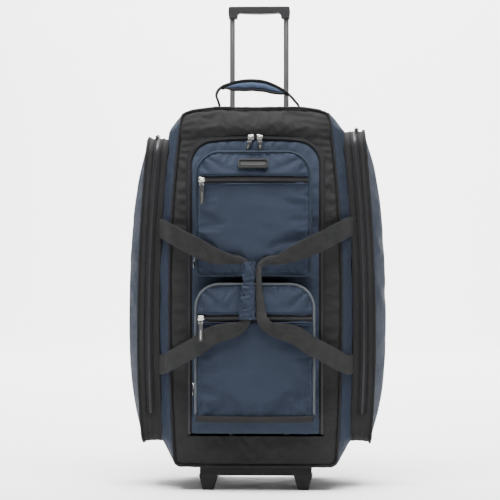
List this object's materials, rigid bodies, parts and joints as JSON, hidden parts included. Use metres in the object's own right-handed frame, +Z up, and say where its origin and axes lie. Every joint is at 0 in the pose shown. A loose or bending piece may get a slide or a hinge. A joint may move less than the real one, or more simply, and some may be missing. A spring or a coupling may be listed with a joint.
{
  "type": "rolling duffel bag",
  "caption": "Upright soft duffel bag on two wheels and front feet, with an extending pull handle, carry straps with a wrap, a padded top handle and zipped front and side pockets",
  "frame": {"origin": "middle of the bounding box in X and Y, on the floor", "axes": "+Z up, the front with the pockets faces -Y, +X is the bag's right side as seen from the front"},
  "size_m": [0.5252, 0.356, 0.997],
  "materials": {
    "navy_nylon": "slate blue woven nylon, slightly coarse",
    "black_polyester": "black woven polyester",
    "black_webbing": "black ribbed webbing",
    "zip_tape": "black coil zip on woven tape",
    "label": "matt black sewn patch, blank",
    "tube_metal": "satin grey anodised tube",
    "outer_tube_metal": "plain drawn tube",
    "black_plastic": "black moulded plastic, finely textured",
    "grip_plastic": "dark grey moulded plastic",
    "button_plastic": "grey moulded plastic",
    "guide_plastic": "natural white plastic",
    "board": "corrugated plastic board",
    "tyre_rubber": "black solid tyre",
    "hub_plastic": "dark grey hub",
    "steel": "bright steel",
    "slider_metal": "dark grey cast zip slider",
    "pull_cord": "black moulded zip pull"
  },
  "bodies": {
    "bag": {"front_panel": "black_polyester", "back_panel": "black_polyester", "top_panel": "black_polyester", "bottom_panel": "black_polyester", "left_side_pocket_gusset": "black_polyester", "right_side_pocket_gusset": "black_polyester", "left_gusset": "navy_nylon", "right_gusset": "navy_nylon", "flap_panel": "navy_nylon", "upper_pocket_gusset": "navy_nylon", "upper_pocket_face": "navy_nylon", "lower_pocket_gusset": "navy_nylon", "lower_pocket_face": "navy_nylon", "left_side_pocket_face": "navy_nylon", "right_side_pocket_face": "navy_nylon", "flap_zip": "zip_tape", "upper_pocket_zip": "zip_tape", "lower_pocket_zip": "zip_tape", "label_patch": "label", "back_board": "board", "base_board": "board", "handle_bezel": "black_plastic", "tube_foot": "black_plastic", "base_tray": "black_plastic", "left_wheel_housing": "black_plastic", "right_wheel_housing": "black_plastic", "left_outer_tube": "outer_tube_metal", "right_outer_tube": "outer_tube_metal", "wheel_axles": "steel", "base_screws": "steel"},
    "top_handle": {"top_handle_webbing": "black_webbing", "top_handle_grip": "navy_nylon"},
    "left_strap": {"left_carry_strap": "black_webbing", "strap_wrap": "navy_nylon"},
    "right_strap": {"right_carry_strap": "black_webbing"},
    "pull_handle": {"left_inner_tube": "tube_metal", "right_inner_tube": "tube_metal", "tube_end_guides": "guide_plastic", "pull_grip": "grip_plastic", "button_spring": "steel"},
    "button": {"release_button": "button_plastic", "release_rods": "steel"},
    "left_wheel": {"left_tyre": "tyre_rubber", "left_hub": "hub_plastic", "left_bearings": "steel"},
    "right_wheel": {"right_tyre": "tyre_rubber", "right_hub": "hub_plastic", "right_bearings": "steel"},
    "flap_left_zip": {"flap_left_slider": "slider_metal"},
    "flap_right_zip": {"flap_right_slider": "slider_metal"},
    "upper_zip": {"upper_zip_slider": "slider_metal"},
    "lower_zip": {"lower_zip_slider": "slider_metal"},
    "flap_left_tab": {"flap_left_pull": "pull_cord"},
    "flap_right_tab": {"flap_right_pull": "pull_cord"},
    "upper_tab": {"upper_zip_pull": "pull_cord"},
    "lower_tab": {"lower_zip_pull": "pull_cord"},
    "upper_side_zip": {"upper_side_slider": "slider_metal"},
    "lower_side_zip": {"lower_side_slider": "slider_metal"},
    "left_pocket_zip": {"left_pocket_slider": "slider_metal"},
    "right_pocket_zip": {"right_pocket_slider": "slider_metal"}
  },
  "joints": [
    {"name": "pull_handle_slide", "type": "slide", "parent": "bag", "child": "pull_handle", "axis": [0, 0, 1], "range_m": [-0.196, 0]},
    {"name": "button_press", "type": "slide", "parent": "pull_handle", "child": "button", "axis": [0, 0, -1], "range_m": [0, 0.004], "stiffness_N_per_m": 900, "springref_m": -0.002, "deforming": ["button_spring"]},
    {"name": "left_wheel_spin", "type": "hinge", "parent": "bag", "child": "left_wheel", "pos_m": [-0.095, 0.146, 0.032], "axis": [1, 0, 0], "continuous": true},
    {"name": "right_wheel_spin", "type": "hinge", "parent": "bag", "child": "right_wheel", "pos_m": [0.095, 0.146, 0.032], "axis": [1, 0, 0], "continuous": true},
    {"name": "top_handle_swing", "type": "hinge", "parent": "bag", "child": "top_handle", "pos_m": [0.005, -0.045, 0.772], "axis": [1, 0, 0], "range_deg": [-55, 55], "stiffness_Nm_per_rad": 0.4},
    {"name": "left_strap_swing", "type": "hinge", "parent": "bag", "child": "left_strap", "pos_m": [-0.195, -0.075, 0.388], "axis": [0, 0, -1], "range_deg": [0, 100]},
    {"name": "right_strap_swing", "type": "hinge", "parent": "bag", "child": "right_strap", "pos_m": [0.195, -0.075, 0.388], "axis": [0, 0, 1], "range_deg": [0, 100]},
    {"name": "flap_left_zip_slide", "type": "slide", "parent": "bag", "child": "flap_left_zip", "axis": [-1, 0, 0], "range_m": [0, 0.075]},
    {"name": "flap_right_zip_slide", "type": "slide", "parent": "bag", "child": "flap_right_zip", "axis": [1, 0, 0], "range_m": [0, 0.075]},
    {"name": "upper_zip_slide", "type": "slide", "parent": "bag", "child": "upper_zip", "axis": [1, 0, 0], "range_m": [0, 0.2]},
    {"name": "lower_zip_slide", "type": "slide", "parent": "bag", "child": "lower_zip", "axis": [1, 0, 0], "range_m": [0, 0.2]},
    {"name": "flap_left_pull_swing", "type": "hinge", "parent": "flap_left_zip", "child": "flap_left_tab", "pos_m": [-0.009, -0.1176, 0.7075], "axis": [-1, 0, 0], "range_deg": [0, 150]},
    {"name": "flap_right_pull_swing", "type": "hinge", "parent": "flap_right_zip", "child": "flap_right_tab", "pos_m": [0.009, -0.1176, 0.7075], "axis": [-1, 0, 0], "range_deg": [0, 150]},
    {"name": "upper_pull_swing", "type": "hinge", "parent": "upper_zip", "child": "upper_tab", "pos_m": [-0.1045, -0.1654, 0.621], "axis": [-1, 0, 0], "range_deg": [0, 150]},
    {"name": "lower_pull_swing", "type": "hinge", "parent": "lower_zip", "child": "lower_tab", "pos_m": [-0.106, -0.1654, 0.347], "axis": [-1, 0, 0], "range_deg": [0, 150]},
    {"name": "upper_side_zip_slide", "type": "slide", "parent": "bag", "child": "upper_side_zip", "axis": [0, 0, 1], "range_m": [0, 0.135]},
    {"name": "lower_side_zip_slide", "type": "slide", "parent": "bag", "child": "lower_side_zip", "axis": [0, 0, 1], "range_m": [0, 0.135]},
    {"name": "left_pocket_zip_slide", "type": "slide", "parent": "bag", "child": "left_pocket_zip", "axis": [0, 1, 0], "range_m": [0, 0.08]},
    {"name": "right_pocket_zip_slide", "type": "slide", "parent": "bag", "child": "right_pocket_zip", "axis": [0, 1, 0], "range_m": [0, 0.08]}
  ]
}
